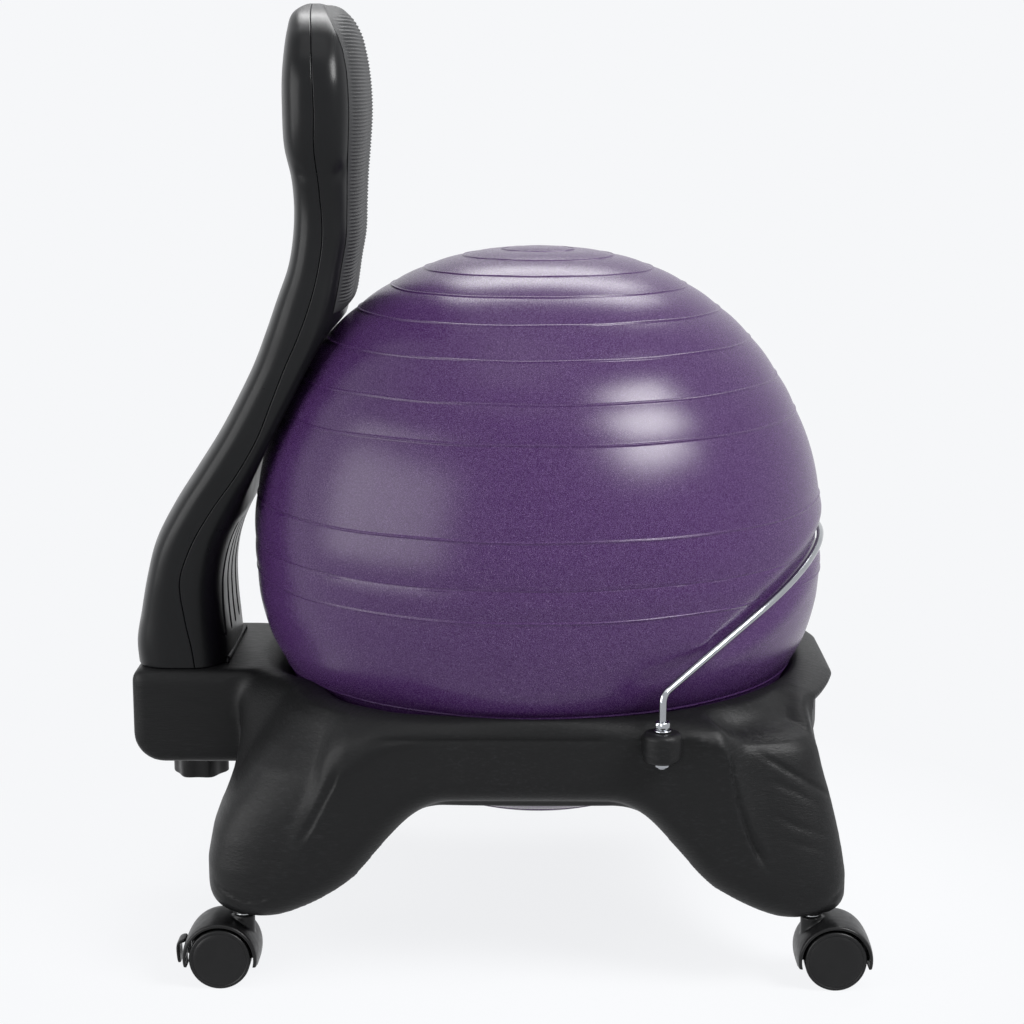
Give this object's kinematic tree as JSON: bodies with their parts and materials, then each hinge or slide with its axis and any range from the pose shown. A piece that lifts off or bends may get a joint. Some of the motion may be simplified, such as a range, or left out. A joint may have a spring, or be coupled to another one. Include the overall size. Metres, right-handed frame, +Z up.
{
  "type": "balance ball chair",
  "caption": "Desk chair with an inflated ball seat held in a hollow arched base on twin-wheel casters, with a curved moulded backrest and a bent steel bar round the front of the ball.",
  "frame": {"origin": "on the floor, under the middle of the chair's outer size", "axes": "+X to the chair's front, +Y to its left side, +Z up"},
  "size_m": [0.6212, 0.521, 0.787],
  "materials": {
    "moulded_black": "satin moulded black with faint brushed streaks",
    "caster_black": "satin moulded black",
    "panel_black": "matt black with fine level ribs",
    "ball_vinyl": "pearl purple vinyl with fine speckle",
    "plug_white": "plain moulded white",
    "bright_chrome": "polished",
    "plated_steel": "zinc plated",
    "insert_brass": "turned"
  },
  "bodies": {
    "chair": {"base_shell": "moulded_black", "base_vent_plug": "caster_black", "ball_shell": "ball_vinyl", "ball_valve_plug": "plug_white", "retaining_bar": "bright_chrome", "bar_left_washer": "bright_chrome", "bar_left_nut": "bright_chrome", "bar_left_cap_nut": "bright_chrome", "bar_right_washer": "bright_chrome", "bar_right_nut": "bright_chrome", "bar_right_cap_nut": "bright_chrome", "backrest_front_shell": "moulded_black", "backrest_rear_shell": "moulded_black", "backrest_ribbed_panel": "panel_black", "backrest_foot_plate": "caster_black", "backrest_threaded_insert": "insert_brass", "backrest_screw_lower_left": "plated_steel", "backrest_screw_lower_right": "plated_steel", "backrest_screw_upper_left": "plated_steel", "backrest_screw_upper_right": "plated_steel", "caster_front_left_socket": "caster_black", "caster_front_left_stem": "plated_steel", "caster_front_right_socket": "caster_black", "caster_front_right_stem": "plated_steel", "caster_rear_left_socket": "caster_black", "caster_rear_left_stem": "plated_steel", "caster_rear_right_socket": "caster_black", "caster_rear_right_stem": "plated_steel"},
    "clamp_washer": {"knob_washer": "plated_steel"},
    "clamp_knob": {"knob_grip": "caster_black", "knob_stud": "plated_steel"},
    "caster_front_left": {"caster_front_left_hood": "caster_black", "caster_front_left_axle": "plated_steel"},
    "caster_front_left_outer_wheel": {"caster_front_left_wheel_outer": "caster_black"},
    "caster_front_left_inner_wheel": {"caster_front_left_wheel_inner": "caster_black"},
    "caster_front_right": {"caster_front_right_hood": "caster_black", "caster_front_right_axle": "plated_steel"},
    "caster_front_right_outer_wheel": {"caster_front_right_wheel_outer": "caster_black"},
    "caster_front_right_inner_wheel": {"caster_front_right_wheel_inner": "caster_black"},
    "caster_rear_left": {"caster_rear_left_hood": "caster_black", "caster_rear_left_axle": "plated_steel"},
    "caster_rear_left_outer_wheel": {"caster_rear_left_wheel_outer": "caster_black"},
    "caster_rear_left_inner_wheel": {"caster_rear_left_wheel_inner": "caster_black"},
    "caster_rear_left_brake": {"caster_rear_left_brake_pedal": "caster_black"},
    "caster_rear_right": {"caster_rear_right_hood": "caster_black", "caster_rear_right_axle": "plated_steel"},
    "caster_rear_right_outer_wheel": {"caster_rear_right_wheel_outer": "caster_black"},
    "caster_rear_right_inner_wheel": {"caster_rear_right_wheel_inner": "caster_black"},
    "caster_rear_right_brake": {"caster_rear_right_brake_pedal": "caster_black"}
  },
  "joints": [
    {"name": "knob_turn", "type": "hinge", "parent": "clamp_washer", "child": "clamp_knob", "pos_m": [-0.2651, 0, 0.1452], "axis": [0, 0, 1], "range_deg": [0, 2880]},
    {"name": "knob_travel", "type": "slide", "parent": "chair", "child": "clamp_washer", "axis": [0, 0, -1], "range_m": [0, 0.01]},
    {"name": "caster_front_left_swivel", "type": "hinge", "parent": "chair", "child": "caster_front_left", "pos_m": [0.2609, 0.204, 0.058], "axis": [0, 0, 1], "continuous": true},
    {"name": "caster_front_left_outer_wheel_spin", "type": "hinge", "parent": "caster_front_left", "child": "caster_front_left_outer_wheel", "pos_m": [0.2789, 0.218, 0.025], "axis": [0, 1, 0], "continuous": true},
    {"name": "caster_front_left_inner_wheel_spin", "type": "hinge", "parent": "caster_front_left", "child": "caster_front_left_inner_wheel", "pos_m": [0.2789, 0.19, 0.025], "axis": [0, 1, 0], "continuous": true},
    {"name": "caster_front_right_swivel", "type": "hinge", "parent": "chair", "child": "caster_front_right", "pos_m": [0.2609, -0.204, 0.058], "axis": [0, 0, 1], "continuous": true},
    {"name": "caster_front_right_outer_wheel_spin", "type": "hinge", "parent": "caster_front_right", "child": "caster_front_right_outer_wheel", "pos_m": [0.2789, -0.218, 0.025], "axis": [0, 1, 0], "continuous": true},
    {"name": "caster_front_right_inner_wheel_spin", "type": "hinge", "parent": "caster_front_right", "child": "caster_front_right_inner_wheel", "pos_m": [0.2789, -0.19, 0.025], "axis": [0, 1, 0], "continuous": true},
    {"name": "caster_rear_left_swivel", "type": "hinge", "parent": "chair", "child": "caster_rear_left", "pos_m": [-0.2021, 0.204, 0.058], "axis": [0, 0, 1], "continuous": true},
    {"name": "caster_rear_left_outer_wheel_spin", "type": "hinge", "parent": "caster_rear_left", "child": "caster_rear_left_outer_wheel", "pos_m": [-0.2201, 0.218, 0.025], "axis": [0, 1, 0], "continuous": true},
    {"name": "caster_rear_left_inner_wheel_spin", "type": "hinge", "parent": "caster_rear_left", "child": "caster_rear_left_inner_wheel", "pos_m": [-0.2201, 0.19, 0.025], "axis": [0, 1, 0], "continuous": true},
    {"name": "caster_rear_left_brake_press", "type": "hinge", "parent": "caster_rear_left", "child": "caster_rear_left_brake", "pos_m": [-0.2493, 0.204, 0.0355], "axis": [0, -1, 0], "range_deg": [0, 18]},
    {"name": "caster_rear_right_swivel", "type": "hinge", "parent": "chair", "child": "caster_rear_right", "pos_m": [-0.2021, -0.204, 0.058], "axis": [0, 0, 1], "continuous": true},
    {"name": "caster_rear_right_outer_wheel_spin", "type": "hinge", "parent": "caster_rear_right", "child": "caster_rear_right_outer_wheel", "pos_m": [-0.2201, -0.218, 0.025], "axis": [0, 1, 0], "continuous": true},
    {"name": "caster_rear_right_inner_wheel_spin", "type": "hinge", "parent": "caster_rear_right", "child": "caster_rear_right_inner_wheel", "pos_m": [-0.2201, -0.19, 0.025], "axis": [0, 1, 0], "continuous": true},
    {"name": "caster_rear_right_brake_press", "type": "hinge", "parent": "caster_rear_right", "child": "caster_rear_right_brake", "pos_m": [-0.2493, -0.204, 0.0355], "axis": [0, -1, 0], "range_deg": [0, 18]}
  ],
  "couplings": [
    {"joint": "knob_turn", "follows": "knob_travel", "rad_per_m": 5026.5}
  ]
}
